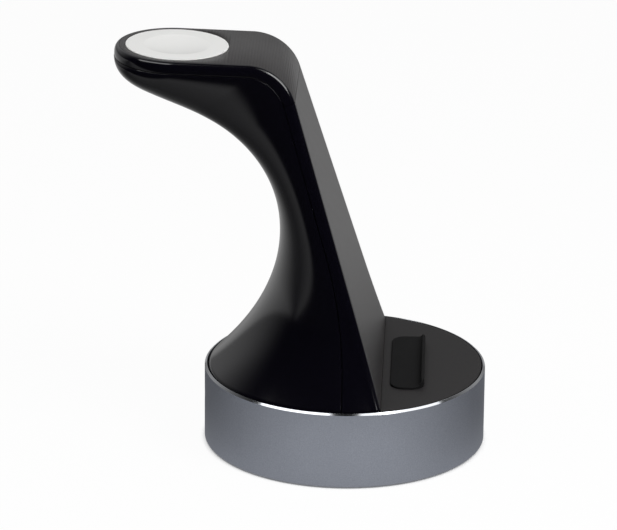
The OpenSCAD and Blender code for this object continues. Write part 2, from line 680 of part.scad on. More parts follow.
// Watch charger, stacked under the disc
hub_r = 16.2;
hub_wall = 1.2;
disc_floor = dish_deep - disc_proud + 1;
disc_seat_clear = 0.15;
yoke_r = hub_r - hub_wall - 2 * clear;
yoke_t = 1;
pot_t = 1;
watch_off = disc_floor + air;
pot_off = watch_off + watch_coil_t;
yoke_off = pot_off + pot_t;
flange_gap = 1.5;
flange_off = plate_off + flange_gap;
flange_t = 1.6;
flange_r = arm_half - shell_wall - 0.6;
watch_boss_r = 2.3;
watch_boss_at = 20.4;
watch_turns = [90, 210, 330];
module arm_cover() color("#141518") {
    start = face_len + seam_gap;
    low = seam_depth - seam_gap;
    rows = concat([for (c = cover_profile) arm_edge(c[0], c[1], start)],
        [arm_edge(0, low, start), arm_edge(cover_wall, low, start), arm_edge(cover_wall, plate_off, start)]);
    difference() {
        union() {
            tray(rows);
            on_arm(disc_run, flange_off) for (a = watch_turns) rotate([0, 0, a]) {
                translate([watch_boss_at, 0, 0]) cylinder(r = watch_boss_r, h = flange_gap + 1, $fn = 32);
                for (turn = [-40, 0, 40]) hull() for (s = [0, 1])
                    translate([watch_boss_at, 0, 0]) rotate([0, 0, turn]) translate([-2.6 * s, 0, s * 0.5])
                        cylinder(r = fin_t / 2, h = flange_gap + 1 - s * 0.5, $fn = 12);
            }
        }
        on_arm(disc_run, plate_off + flange_gap + 1) cylinder(r = hub_r + clear, h = 2 * plate_off);
        on_arm(disc_run, flange_off) for (a = watch_turns) rotate([0, 0, a])
            translate([watch_boss_at, 0, -1]) cylinder(r = pilot_r, h = flange_gap + 2.2, $fn = 24);
        on_arm(arm_post_run, plate_off) for (x = [-1, 1]) cover_screw_hole(x * arm_post_x);
    }
}
module arm_pad() color("#4b4a4b") {
    start = face_len + seam_gap;
    difference() {
        tray([arm_edge(rim_r, 0, start), arm_edge(rim_r, pad_t, start)]);
        on_arm(disc_run, pad_t + 1) rotate([0, 0, 20]) cylinder(d = disc_d + 2 * disc_seat_clear, h = 4);
    }
}

shell_screw_l = chassis_t + screw_bite;
module shell_screws() color("#8c9096") {
    for (c = concat(front_bosses, shell_bosses)) translate([c[0], c[1], ledge_z])
        screw(screw_r, screw_head_r, screw_head_h, shell_screw_l);
}
module cover_screws() color("#8c9096") {
    on_face(post_up, pad_t + pin_head_h + clear) for (x = [-1, 1]) translate([x * post_x, 0, 0])
        rotate([180, 0, 0]) screw(pin_screw_r, pin_head_r, pin_head_h, 7);
    on_arm(arm_post_run, pad_t + pin_head_h + clear) for (x = [-1, 1]) translate([x * arm_post_x, 0, 0])
        rotate([180, 0, 0]) screw(pin_screw_r, pin_head_r, pin_head_h, 7);
}

module coil_carrier() color("#2b2d31") {
    on_face(coil_up, carrier_off + carrier_t) difference() {
        union() {
            round_plate(2 * carrier_x + 7, 2 * carrier_y + 7, carrier_t, 3);
            cylinder(r = carrier_y + 3, h = carrier_t + platform_h);
        }
        for (x = [-1, 1], y = [-1, 1]) translate([x * carrier_x, y * carrier_y, -1])
            cylinder(r = pilot_r, h = carrier_t + 2);
    }
}
coil_turns = 10;
groove = 0.2;
module phone_coil() color("#b87333") {
    pitch = (coil_d - coil_in_d) / 2 / coil_turns;
    on_face(coil_up, tile_off) rotate_extrude() translate([coil_in_d / 2, 0]) polygon(concat([[0, 0]],
        [for (i = [0:coil_turns - 1]) each [[i * pitch, coil_t - groove], [(i + 0.5) * pitch, coil_t]]],
        [[coil_turns * pitch, coil_t - groove], [coil_turns * pitch, 0]]));
}
module phone_ferrite() color("#3a3a3d") {
    on_face(coil_up, tile_off + ferrite_t) cylinder(d = coil_d + 3, h = ferrite_t);
}
module carrier_screws() color("#8c9096") {
    on_face(coil_up, carrier_off + carrier_t) for (x = [-1, 1], y = [-1, 1])
        translate([x * carrier_x, y * carrier_y, 0]) screw(pin_screw_r, pin_head_r, pin_head_h, carrier_t + 3);
}

module watch_disc() color("#e4e3df") {
    ball_r = (dish_d ^ 2 / 4 + dish_deep ^ 2) / (2 * dish_deep);
    on_arm(disc_run, 0) difference() {
        union() {
            translate([0, 0, -pad_t]) cylinder(d = disc_d, h = pad_t + disc_proud - 0.3);
            translate([0, 0, disc_proud - 0.3]) cylinder(d1 = disc_d, d2 = disc_d - 0.6, h = 0.3);
            translate([0, 0, -flange_off + air]) cylinder(r = hub_r, h = flange_off - air - pad_t + 0.1);
        }
        translate([0, 0, -flange_off - 1]) cylinder(r = hub_r - hub_wall, h = flange_off + 1 - disc_floor);
        translate([0, 0, disc_proud - dish_deep + ball_r]) sphere(ball_r, $fn = 256);
    }
}
// Stepped ring that holds the watch coil's stack and board, screwed under the arm cover
step_r = yoke_r + clear;
ledge_in_r = yoke_r - 1.4;
tray_r = hub_r + 0.4;
tray_step = 2.5;
board_step = 1.2;
watch_board_off = yoke_off + yoke_t + tray_step;
module watch_housing() color("#2b2d31") {
    low = watch_board_off + board_step + 1.2;
    on_arm(disc_run, 0) difference() {
        rotate_extrude() polygon([[step_r, -flange_off], [flange_r, -flange_off],
            [flange_r, -flange_off - flange_t], [tray_r + 1.4, -flange_off - flange_t],
            [tray_r + 1.4, -low], [tray_r, -low], [tray_r, -watch_board_off], [step_r, -watch_board_off],
            [step_r, -yoke_off - yoke_t - 1.3], [ledge_in_r, -yoke_off - yoke_t - 1.3],
            [ledge_in_r, -yoke_off - yoke_t], [step_r, -yoke_off - yoke_t]]);
        for (a = watch_turns) rotate([0, 0, a]) translate([watch_boss_at, 0, -flange_off - flange_t - 1])
            cylinder(r = pilot_r, h = flange_t + 2);
    }
}
module watch_magnet() color("#c7c9cc") {
    on_arm(disc_run, yoke_off) cylinder(d = magnet_d, h = yoke_off - watch_off);
}
module watch_coil() color("#b87333") {
    on_arm(disc_run, pot_off) difference() {
        cylinder(r = yoke_r - 1, h = watch_coil_t);
        translate([0, 0, -1]) cylinder(d = magnet_d + 2, h = watch_coil_t + 2);
    }
}
module watch_ferrite() color("#3a3a3d") {
    on_arm(disc_run, yoke_off) difference() {
        cylinder(r = yoke_r, h = pot_t);
        translate([0, 0, -1]) cylinder(d = magnet_d + 2 * clear, h = pot_t + 2);
    }
}
module watch_yoke() color("#8c9096") {
    on_arm(disc_run, yoke_off + yoke_t) cylinder(r = yoke_r, h = yoke_t);
}
module watch_board() color("#1c5a36") {
    on_arm(disc_run, watch_board_off + board_step) cylinder(r = tray_r - clear, h = board_step);
}
module watch_screws() color("#8c9096") {
    on_arm(disc_run, flange_off + flange_t) for (a = watch_turns) rotate([0, 0, a])
        translate([watch_boss_at, 0, 0]) screw(pin_screw_r, pin_head_r, pin_head_h, flange_t + flange_gap + 1);
}

// Internal leads: round tubes swept along routes chosen by hand, square to the piece they start on
lead_n = 8;
face_inward = [0, sin(face_lean), -cos(face_lean)];
arm_inward = [0, sin(arm_tilt), -cos(arm_tilt)];
socket_in = [0, 0, -1];
function face_spot(x, up, off) = at_x(x, foot_pt + up * face_dir - off * face_out);
function arm_spot(x, p, off) = at_x(x, disc_pt + (p - disc_run) * arm_dir - off * arm_out);
carrier_back = carrier_off + carrier_t;
watch_back = watch_board_off + board_step;
coil_route = [face_spot(8, 54, carrier_back), face_spot(8, 53, carrier_back + 3), [8, 10.5, 76],
    [8, 10, 69], [9, 9, 61], [10, 8.5, 53], [12, 8.5, 45], [14.5, 9, 37], [16.5, 9, 30],
    [17, 9, 25], [socket_x, socket_y, socket_top]];
watch_route = [arm_spot(0, disc_run - 6, watch_back), arm_spot(0, disc_run - 8, watch_back + 2.6),
    arm_spot(0, disc_run - 14, watch_back + 4), [0, 50, 156], [0, 42, 151], [0, 35, 144.5],
    [0, 29.5, 137], [0, 25.5, 129], [0, 22.5, 120], [0, 20, 111], [-1, 18, 102], [-2, 16, 93],
    [-3, 14, 84], [-4, 12.5, 75], [-6, 11, 66], [-8, 10, 57], [-10.5, 9, 48], [-13.5, 8.5, 39],
    [-16.5, 9, 31], [-17, 9, 25], [-socket_x, socket_y, socket_top]];
module lead(route, start) {
    m = len(route) - 1;
    loft([for (i = [0:m]) let (way = route[min(m, i + 1)] - route[max(0, i - 1)],
            d = i == 0 ? start : i == m ? socket_in : way / norm(way),
            a = [1, 0, 0] - d * d[0], b = cross(d, a / norm(a)))
        [for (j = [0:lead_n - 1]) route[i] + lead_d / 2 * (a / norm(a) * cos(360 * j / lead_n)
            + b * sin(360 * j / lead_n))]]);
}
module coil_lead() color("#b3202a") lead(coil_route, face_inward);
module watch_lead() color("#22252b") lead(watch_route, arm_inward);

base_ring();
base_chassis();
base_deck();
phone_rest();
bottom_cover();
foot_pad();
bottom_screws();
ballast_plate();
main_board();
board_parts();
board_connectors();
board_screws();
dc_inlet();
inlet_pin();
back_shell();
front_cover();
face_pad();
arm_cover();
arm_pad();
shell_screws();
cover_screws();
coil_carrier();
phone_coil();
phone_ferrite();
carrier_screws();
watch_disc();
watch_housing();
watch_magnet();
watch_coil();
watch_ferrite();
watch_yoke();
watch_board();
watch_screws();
coil_lead();
watch_lead();
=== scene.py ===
import bpy
import numpy as np
from mathutils import Matrix


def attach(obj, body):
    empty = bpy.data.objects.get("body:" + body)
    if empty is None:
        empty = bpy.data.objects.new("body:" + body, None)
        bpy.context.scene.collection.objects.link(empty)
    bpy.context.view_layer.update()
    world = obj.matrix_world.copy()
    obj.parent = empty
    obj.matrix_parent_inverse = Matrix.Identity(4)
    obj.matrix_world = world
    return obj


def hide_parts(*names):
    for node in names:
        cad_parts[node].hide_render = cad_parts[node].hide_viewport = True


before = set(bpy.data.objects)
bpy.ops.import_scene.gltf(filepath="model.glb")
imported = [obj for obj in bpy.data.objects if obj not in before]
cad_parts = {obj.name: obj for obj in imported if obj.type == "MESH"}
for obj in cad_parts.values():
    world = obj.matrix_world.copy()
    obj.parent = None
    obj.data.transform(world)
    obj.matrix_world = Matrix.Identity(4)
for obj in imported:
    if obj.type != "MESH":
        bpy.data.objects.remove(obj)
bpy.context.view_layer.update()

# ---- Camera ----
# A long lens on the side of the stand, a little above it, so that the leaning face is seen
# almost edge on and the arm and its disc from above.
camera_at = np.array([-1678.7, -39.7, 687.8]) / 1000
turn, height, roll = np.radians([-88.1, 19.971, 0.532])
focal_px, frame_px, sensor_mm = 4206.8, 617, 36
back = np.array([np.sin(turn) * np.cos(height), -np.cos(turn) * np.cos(height), np.sin(height)])
level = np.cross(-back, [0, 0, 1])
level /= np.linalg.norm(level)
upright = np.cross(level, -back)
across = level * np.cos(roll) + upright * np.sin(roll)
upward = upright * np.cos(roll) - level * np.sin(roll)
camera = bpy.data.objects.new("camera", bpy.data.cameras.new("camera"))
camera.data.sensor_width = sensor_mm
camera.data.lens = focal_px / frame_px * sensor_mm
camera.data.clip_end = 20
pose = np.eye(4)
pose[:3] = np.column_stack([across, upward, back, camera_at])
camera.matrix_world = Matrix(pose)
scene = bpy.context.scene
scene.collection.objects.link(camera)
scene.camera = camera

# ---- Studio ----
# A white paper sweep behind the stand, three softboxes above its two sides, and an unlit room
# on the camera's side, which is what polished black plastic shows there.


def linear(hex_colour):
    """A hex sRGB colour as linear red, green, blue and alpha."""
    srgb = np.array([int(hex_colour[i:i + 2], 16) for i in (1, 3, 5)]) / 255
    rgb = np.where(srgb <= 0.04045, srgb / 12.92, ((srgb + 0.055) / 1.055) ** 2.4)
    return (*rgb.tolist(), 1.0)


def add(tree, kind, inputs=(), **settings):
    """Adds one node with its settings; each input is a value or the socket that feeds it."""
    made = tree.nodes.new("ShaderNode" + kind)
    for key, value in settings.items():
        setattr(made, key, value)
    for key, value in dict(inputs).items():
        if isinstance(value, bpy.types.NodeSocket):
            tree.links.new(value, made.inputs[key])
        else:
            made.inputs[key].default_value = value
    return made


def blank(owner):
    """Empties the node tree of a material, a world or a lamp, and returns it."""
    owner.use_nodes = True
    owner.node_tree.nodes.clear()
    return owner.node_tree


scene.view_settings.view_transform = "Standard"
world = bpy.data.worlds.new("studio")
scene.world = world
# Shiny surfaces mirror a wall that is lit far behind the stand, dark on the camera's side, and
# dims below the horizon. The rest gets an even fill, and the camera sees white
tree = blank(world)
path = add(tree, "LightPath")
facing = add(tree, "SeparateXYZ", {"Vector": add(tree, "TexCoord").outputs["Generated"]})
sweep = add(tree, "MapRange", {"Value": facing.outputs["X"], "From Min": -0.1, "From Max": 0.9,
                               "To Min": 0.008, "To Max": 0.55}, interpolation_type="SMOOTHERSTEP")
horizon = add(tree, "MapRange", {"Value": facing.outputs["Z"], "From Min": -0.05, "From Max": 0.28,
                                 "To Min": 0.3, "To Max": 1.0})
wall_glow = add(tree, "Math", {0: sweep.outputs["Result"], 1: horizon.outputs["Result"]},
                operation="MULTIPLY")
fill_level = 0.18
seen = add(tree, "Mix", {0: path.outputs["Is Glossy Ray"], 2: fill_level, 3: wall_glow.outputs[0]},
           data_type="FLOAT")
shown = add(tree, "Mix", {0: path.outputs["Is Camera Ray"], 2: seen.outputs[0], 3: 1.0},
            data_type="FLOAT")
glow = add(tree, "Background", {"Color": linear("#ffffff"), "Strength": shown.outputs[0]})
add(tree, "OutputWorld", {"Surface": glow.outputs["Background"]})


# All softboxes stand 0.9 m from a point in the stand, 90 mm up
softbox_away, lit_point = 0.9, [0, 0, 0.09]


def softbox(name, aim, long_way, size, watts):
    """A lamp in direction aim from the lit point, facing it, its long side along long_way."""
    aim = np.array(aim, float) / np.linalg.norm(aim)
    lamp = bpy.data.objects.new(name, bpy.data.lights.new(name, "AREA"))
    lamp.data.shape = "RECTANGLE"
    lamp.data.size, lamp.data.size_y = size
    lamp.data.energy = watts
    side = np.array(long_way, float) - np.dot(long_way, aim) * aim
    side /= np.linalg.norm(side)
    stance = np.eye(4)
    stance[:3] = np.column_stack([side, np.cross(aim, side), aim, aim * softbox_away + lit_point])
    lamp.matrix_world = Matrix(stance)
    scene.collection.objects.link(lamp)


softbox("softbox_phone_side", (-0.20, -0.52, 0.78), (0.641, -0.703, -0.308), (0.86, 0.24), 1.7)
softbox("softbox_watch_side", (-0.30, 0.463, 0.79), (0.558, 0.783, -0.275), (0.71, 0.30), 2.5)
softbox("softbox_low", (-0.45, -0.53, 0.66), (0.05, -0.55, -0.48), (0.50, 0.38), 4.4)


def mesh_piece(name, points, faces, material, smooth_angle=38):
    """A smooth mesh from points in millimetres and faces. Edges that bend further than the
    angle stay sharp."""
    mesh = bpy.data.meshes.new(name)
    mesh.from_pydata((np.asarray(points) / 1000).tolist(), [], faces)
    mesh.validate()
    mesh.shade_smooth()
    mesh.set_sharp_from_angle(angle=np.radians(smooth_angle))
    mesh.materials.append(material)
    made = bpy.data.objects.new(name, mesh)
    scene.collection.objects.link(made)
    return made


floor_look = bpy.data.materials.new("white_paper_sweep")
# In shiny surfaces the paper ends in the dark room on the camera's side, is bright in front of
# the stand, dim beside it, and bright again behind it
tree = blank(floor_look)
path = add(tree, "LightPath")
paper = add(tree, "BsdfDiffuse", {"Color": linear("#f2f2f2")})
lit = add(tree, "Emission", {"Color": linear("#ffffff"), "Strength": 1.0})
spot = add(tree, "SeparateXYZ", {"Vector": add(tree, "TexCoord").outputs["Object"]})
edge_of_paper = add(tree, "MapRange", {"Value": spot.outputs["X"], "From Min": -0.25,
                                       "From Max": -0.14, "To Min": 0.03, "To Max": 1.0},
                    interpolation_type="SMOOTHSTEP")
beside = add(tree, "MapRange", {"Value": spot.outputs["X"], "From Min": -0.12, "From Max": 0.03,
                                "To Min": 0.58, "To Max": 0.16})
aside = add(tree, "Math", {0: spot.outputs["Y"]}, operation="ABSOLUTE")
in_front = add(tree, "MapRange", {"Value": aside.outputs[0], "From Min": 0.045, "From Max": 0.11,
                                  "To Min": 1.0, "To Max": 0.7}, interpolation_type="SMOOTHSTEP")
lit_paper = add(tree, "Math", {0: beside.outputs["Result"], 1: in_front.outputs["Result"]},
                operation="MULTIPLY")
behind = add(tree, "MapRange", {"Value": spot.outputs["X"], "From Min": 0.10, "From Max": 0.30,
                                "To Min": 0.0, "To Max": 0.42})
both = add(tree, "Math", {0: lit_paper.outputs[0], 1: behind.outputs["Result"]})
paper_glow = add(tree, "Math", {0: edge_of_paper.outputs["Result"], 1: both.outputs[0]},
                 operation="MULTIPLY")
mirrored = add(tree, "Emission", {"Strength": paper_glow.outputs[0]})
# Close to the stand the paper is in its shadow
shade = add(tree, "AmbientOcclusion", {"Distance": 0.004}, samples=8)
open_share = add(tree, "MapRange", {"Value": shade.outputs["AO"], "From Min": 0.2,
                                    "From Max": 0.75, "To Min": 0.05, "To Max": 0.96})
share = add(tree, "Math", {0: path.outputs["Is Camera Ray"], 1: open_share.outputs["Result"]},
            operation="MULTIPLY")
plain = add(tree, "MixShader", {0: share.outputs[0], 1: paper.outputs[0], 2: lit.outputs[0]})
glossy = add(tree, "MixShader", {0: path.outputs["Is Glossy Ray"], 1: plain.outputs[0],
                                 2: mirrored.outputs[0]})
add(tree, "OutputMaterial", {"Surface": glossy.outputs[0]})
floor_reach = 4000
floor_corners = floor_reach * np.array([[-1, -1, 0], [1, -1, 0], [1, 1, 0], [-1, 1, 0]])
floor = mesh_piece("floor", floor_corners, [(0, 1, 2, 3)], floor_look)

# ---- Aluminium ring ----
# A turned ring of extruded aluminium, bead blasted and anodised a cool grey, with a chamfer
# cut after anodising, so that a bright edge runs round the top.


def loop_faces(rows, columns, wrap_rows=False, wrap_columns=True):
    """Quads between neighbouring points of a grid whose points are numbered row by row."""
    i = np.arange(rows if wrap_rows else rows - 1)
    j = np.arange(columns if wrap_columns else columns - 1)
    i, j = np.meshgrid(i, j, indexing="ij")
    below, beside = (i + 1) % rows, (j + 1) % columns
    return np.stack([i * columns + j, i * columns + beside, below * columns + beside,
                     below * columns + j], -1).reshape(-1, 4)


def outward(points, groups):
    """The groups' faces as one list, all turned round if the closed shape that they make has a
    negative volume, which is the sum of the blocks from the origin to each triangle."""
    volume = 0
    for group in groups:
        corners = points[group]
        for k in range(1, group.shape[1] - 1):
            across_face = np.cross(corners[:, k], corners[:, k + 1])
            volume += np.einsum("ij,ij->", corners[:, 0], across_face)
    step = 1 if volume >= 0 else -1
    return [face for group in groups for face in group[:, ::step].tolist()]


def closed_piece(name, grid, material, poles=(), smooth_angle=38, wrap_rows=False):
    """Closed shape from rows of points. Each end is closed by a fan to a pole, or by a flat face
    where the pole is None."""
    rows, columns = grid.shape[:2]
    points = grid.reshape(-1, 3)
    faces = loop_faces(rows, columns, wrap_rows)
    extra = []
    for end, pole in poles:
        first = 0 if end == 0 else (rows - 1) * columns
        ring = first + np.arange(columns)
        if pole is None:
            extra.append(ring[None, ::-1] if end == 0 else ring[None])
            continue
        points = np.vstack([points, pole])
        fan = np.stack([np.roll(ring, -1), ring, np.full(columns, len(points) - 1)], -1)
        extra.append(fan if end == 0 else fan[:, ::-1])
    made = mesh_piece(name, points, outward(points, [faces] + extra), material, smooth_angle)
    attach(made, "root")
    return made


def turned(profile, steps=256):
    """Surface of revolution: each (radius, height) of the profile goes once round Z."""
    profile = np.asarray(profile, float)
    angle = np.linspace(0, 2 * np.pi, steps, endpoint=False)
    grid = np.empty((len(profile), steps, 3))
    grid[..., 0] = profile[:, :1] * np.cos(angle)
    grid[..., 1] = profile[:, :1] * np.sin(angle)
    grid[..., 2] = profile[:, 1:]
    return grid


ring_r, ring_top, ring_wall, chamfer, land = 60, 33.6, 2.6, 0.75, 0.3
ring_low, low_edge, ledge, mouth_edge = 0.8, 0.3, 27.6, 0.12
mouth_r = ring_r - chamfer - land

anodised = bpy.data.materials.new("bead_blasted_anodised_aluminium")
# Blasting leaves craters of about 0.1 mm, drawn 0.5 mm wide here so that they show
tree = blank(anodised)
spot = add(tree, "TexCoord").outputs["Object"]
grit = add(tree, "TexNoise", {"Vector": spot, "Scale": 2200, "Detail": 2, "Roughness": 0.6})
cloud = add(tree, "TexNoise", {"Vector": spot, "Scale": 60, "Detail": 3})
tone = add(tree, "Mix", {0: grit.outputs["Fac"], 6: linear("#adb3c2"), 7: linear("#dadfea")},
           data_type="RGBA")
gloss = add(tree, "MapRange", {"Value": cloud.outputs["Fac"], "To Min": 0.40, "To Max": 0.50})
dents = add(tree, "Bump", {"Height": grit.outputs["Fac"], "Strength": 0.25, "Distance": 0.0001})
skin = add(tree, "BsdfPrincipled", {"Base Color": tone.outputs[2], "Metallic": 1.0,
                                    "Roughness": gloss.outputs[0], "Normal": dents.outputs[0]})
add(tree, "OutputMaterial", {"Surface": skin.outputs[0]})

polished = bpy.data.materials.new("diamond_cut_aluminium")
# The diamond tool leaves traces of about 1 mm, which only soften what the chamfer mirrors
tree = blank(polished)
spot = add(tree, "TexCoord").outputs["Object"]
trace = add(tree, "TexNoise", {"Vector": spot, "Scale": 900, "Detail": 1})
gloss = add(tree, "MapRange", {"Value": trace.outputs["Fac"], "To Min": 0.10, "To Max": 0.14})
skin = add(tree, "BsdfPrincipled", {"Base Color": linear("#a9abaf"), "Metallic": 1.0,
                                    "Roughness": gloss.outputs[0]})
add(tree, "OutputMaterial", {"Surface": skin.outputs[0]})

wall_rows = np.linspace(ring_low + low_edge, ring_top - chamfer, 24)
ring_profile = np.vstack([
    [ring_r - ring_wall, ring_low], [ring_r - low_edge, ring_low],
    np.column_stack([np.full_like(wall_rows, ring_r), wall_rows]),
    [ring_r - chamfer, ring_top], [mouth_r + mouth_edge, ring_top],
    [mouth_r, ring_top - mouth_edge], [mouth_r, ledge], [ring_r - ring_wall, ledge]])
ring = closed_piece("aluminium_ring", turned(ring_profile, 360), anodised, wrap_rows=True)
ring.data.materials.append(polished)
centre_z = np.array([polygon.center.z for polygon in ring.data.polygons]) * 1000
centre_r = np.array([polygon.center.xy.length for polygon in ring.data.polygons]) * 1000
bright = (centre_z > ring_top - chamfer) & (centre_r > mouth_r)
ring.data.polygons.foreach_set("material_index", bright.astype(np.int32))


def bored(piece, near, far):
    """Cuts a hole through a piece: a drill between two rings of points is taken away."""
    count = len(near)
    points = np.vstack([near, far])
    ends = np.arange(2 * count).reshape(2, count)
    groups = [loop_faces(2, count), ends[:1, ::-1], ends[1:]]
    drill = mesh_piece("drill", points, outward(points, groups), piece.data.materials[0])
    cut = piece.modifiers.new("hole", "BOOLEAN")
    cut.object, cut.operation, cut.solver = drill, "DIFFERENCE", "EXACT"
    piece.data = bpy.data.meshes.new_from_object(
        piece.evaluated_get(bpy.context.evaluated_depsgraph_get()))
    piece.modifiers.clear()
    bpy.data.objects.remove(drill)


# The inlet's round hole goes through the wall at the back
inlet_z, inlet_r = 20.2, 5.6
drill_inside, drill_outside = ring_r - 10, ring_r + 6
hole_angle = np.linspace(0, 2 * np.pi, 64, endpoint=False)
hole_x, hole_z = inlet_r * np.cos(hole_angle), inlet_z + inlet_r * np.sin(hole_angle)
bored(ring, *[np.column_stack([hole_x, np.full_like(hole_x, y), hole_z])
              for y in (drill_inside, drill_outside)])
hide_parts("base_ring")

# ---- Deck ----
# A flat D-shaped plate of moulded dark grey plastic, spark eroded to a fine matt grain, let
# into the ring in front of the face.
deck_r, deck_low, chord_y, deck_edge, under_edge = 58.4, 30.6, -16.36, 0.12, 0.4


def deck_outline(inset, arc_steps=220, chord_steps=80):
    """The D inset by a distance: an arc of the deck's radius less the inset, and its chord."""
    radius, chord = deck_r - inset, chord_y - inset
    half_angle = np.arccos(np.clip(-chord / radius, -1, 1))
    angle = -np.pi / 2 + np.linspace(-half_angle, half_angle, arc_steps)
    arc = np.column_stack([radius * np.cos(angle), radius * np.sin(angle)])
    x = np.linspace(arc[-1, 0], arc[0, 0], chord_steps + 2)[1:-1]
    return np.vstack([arc, np.column_stack([x, np.full(len(x), chord)])])


moulded = bpy.data.materials.new("spark_eroded_dark_abs")
# The eroded grain is about 0.2 mm, which breaks up the shine evenly
tree = blank(moulded)
spot = add(tree, "TexCoord").outputs["Object"]
grain = add(tree, "TexNoise", {"Vector": spot, "Scale": 1500, "Detail": 2})
tone = add(tree, "Mix", {0: grain.outputs["Fac"], 6: linear("#1b191a"), 7: linear("#232122")},
           data_type="RGBA")
dents = add(tree, "Bump", {"Height": grain.outputs["Fac"], "Strength": 0.3, "Distance": 0.0001})
skin = add(tree, "BsdfPrincipled", {"Base Color": tone.outputs[2], "Roughness": 0.64,
                                    "Specular IOR Level": 0.42, "Normal": dents.outputs[0]})
add(tree, "OutputMaterial", {"Surface": skin.outputs[0]})

deck_rows = [(under_edge, deck_low), (0, deck_low + under_edge), (0, ring_top - deck_edge)]
deck_rows += [(deck_edge * (1 - np.cos(a)), ring_top - deck_edge * (1 - np.sin(a)))
              for a in np.radians([22.5, 45, 67.5, 90])]
deck_rows += [(inset, ring_top) for inset in (1.5, 4, 8, 12, 16, 19)]
middle_y = (chord_y - deck_r) / 2
deck_grid = np.stack([np.insert(deck_outline(inset), 2, z, axis=1) for inset, z in deck_rows])
deck = closed_piece("deck_plate", deck_grid, moulded,
                    [(0, [0, middle_y, deck_low]), (1, [0, middle_y, ring_top])])
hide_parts("base_deck")

# ---- Phone rest ----
# A pad of black silicone rubber let into the deck. It is thin behind and curls up into a lip
# in front, which holds the phone's lower edge against the face.
rest_l, rest_w, rest_r, rest_y, rest_sink = 61, 14.4, 6, -27, 1
rest_thin, rest_lip, lip_w, lip_curl, rest_edge = 0.8, 3.3, 1.3, 5.5, 0.35
end_drop, curl_power = 0.45, 1.2


def rounded_outline(inset, side_steps=50, end_steps=12, corner_steps=14):
    """Rounded rectangle inset by a distance: four quarter circles and the straight lines
    between them, counted round from its right side."""
    radius = max(rest_r - inset, 0)
    x, y = rest_l / 2 - inset - radius, max(rest_w / 2 - inset - radius, 0)
    parts = []
    for k, (cx, cy) in enumerate(((x, y), (-x, y), (-x, -y), (x, -y))):
        angle = np.radians(90 * k + np.linspace(0, 90, corner_steps))
        parts.append(np.column_stack([cx + radius * np.cos(angle), cy + radius * np.sin(angle)]))
    full = []
    for k in range(4):
        start, end = parts[k][-1], parts[(k + 1) % 4][0]
        steps = side_steps if k % 2 == 0 else end_steps
        share = np.linspace(0, 1, steps + 2)[1:-1, None]
        full += [parts[k], start + (end - start) * share]
    return np.vstack(full)


def rest_height(x, y):
    """Height of the rubber over the deck at a place measured from the rest's middle: a thin pad
    that curls up to a lip in front, where the lip eases down towards both ends."""
    along = rest_w / 2 - y
    a = np.arcsin(np.clip((along - (rest_w - lip_w - lip_curl)) / lip_curl, 0, 1))
    ends = 1 - end_drop * np.clip((np.abs(x) - (rest_l / 2 - rest_r)) / rest_r, 0, 1) ** 2
    return rest_thin + (rest_lip - rest_thin) * ends * (1 - np.cos(a)) ** curl_power


silicone = bpy.data.materials.new("black_silicone_rubber")
# Moulded silicone has a faint bloom and a dusty, even shine
tree = blank(silicone)
spot = add(tree, "TexCoord").outputs["Object"]
bloom = add(tree, "TexNoise", {"Vector": spot, "Scale": 220, "Detail": 5, "Roughness": 0.65})
tone = add(tree, "Mix", {0: bloom.outputs["Fac"], 6: linear("#0b0b0c"), 7: linear("#161617")},
           data_type="RGBA")
dust = add(tree, "TexNoise", {"Vector": spot, "Scale": 1600, "Detail": 2})
dents = add(tree, "Bump", {"Height": dust.outputs["Fac"], "Strength": 0.3, "Distance": 0.0001})
skin = add(tree, "BsdfPrincipled", {"Base Color": tone.outputs[2], "Roughness": 0.8, "IOR": 1.41,
                                    "Specular IOR Level": 0.25, "Normal": dents.outputs[0]})
add(tree, "OutputMaterial", {"Surface": skin.outputs[0]})


def rest_row(inset, drop=0.0):
    """The rest's outline at an inset, lying a drop below the rubber's height there."""
    outline = rounded_outline(inset)
    return np.column_stack([outline[:, 0], outline[:, 1] + rest_y,
                            rest_height(*outline.T) - drop + ring_top])


rest_rows = [rest_row(rest_edge * (1 - np.cos(a)), rest_edge * (1 - np.sin(a)))
             for a in np.radians([0, 18, 36, 54, 72, 90])]
rest_rows += [rest_row(inset) for inset in np.linspace(rest_edge, rest_w / 2, 46)[1:]]
rest_foot = rest_rows[0] * [1, 1, 0] + [0, 0, ring_top - rest_sink]
rest = closed_piece("phone_rest_pad", np.stack([rest_foot] + rest_rows), silicone,
                    [(0, [0, rest_y, ring_top - rest_sink]),
                     (1, [0, rest_y, ring_top + float(rest_height(0.0, 0.0))])])
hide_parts("phone_rest")

# ---- Glossy shells ----
# The neck and arm are a polished black polycarbonate clamshell: a back shell, a front cover
# for the phone's face and an arm cover, which meet at a fine seam that runs up both sides.
lean, tilt = np.radians([73.2, 1.5])
bend_r, seam_depth, rim_r, rim_deep = 21.4, 5, 2, 3.1
pad_t, wall, cover_t, gap = 0.8, 2.2, 2, 0.3
face_dir = np.array([np.cos(lean), np.sin(lean)])
face_out = np.array([-np.sin(lean), np.cos(lean)])
arm_dir = np.array([np.cos(tilt), np.sin(tilt)])
arm_out = np.array([-np.sin(tilt), np.cos(tilt)])
foot, disc_centre, arm_half = np.array([-16.3, ring_top]), np.array([71.7, 174]), 26.2
# The leaning line and the arm's line cross at corner_run, and the bend is drawn between them
to_disc = disc_centre - foot
corner_run = (to_disc[0] * arm_dir[1] - to_disc[1] * arm_dir[0]) / (
    face_dir[0] * arm_dir[1] - face_dir[1] * arm_dir[0])
face_len = corner_run - bend_r * np.tan((lean - tilt) / 2)
bend_centre = foot + face_len * face_dir - bend_r * face_out
bend_len = bend_r * (lean - tilt)
bend_end = face_len + bend_len
disc_run = bend_end + np.linalg.norm(disc_centre - bend_centre - bend_r * arm_out)
tip_run = disc_run + arm_half


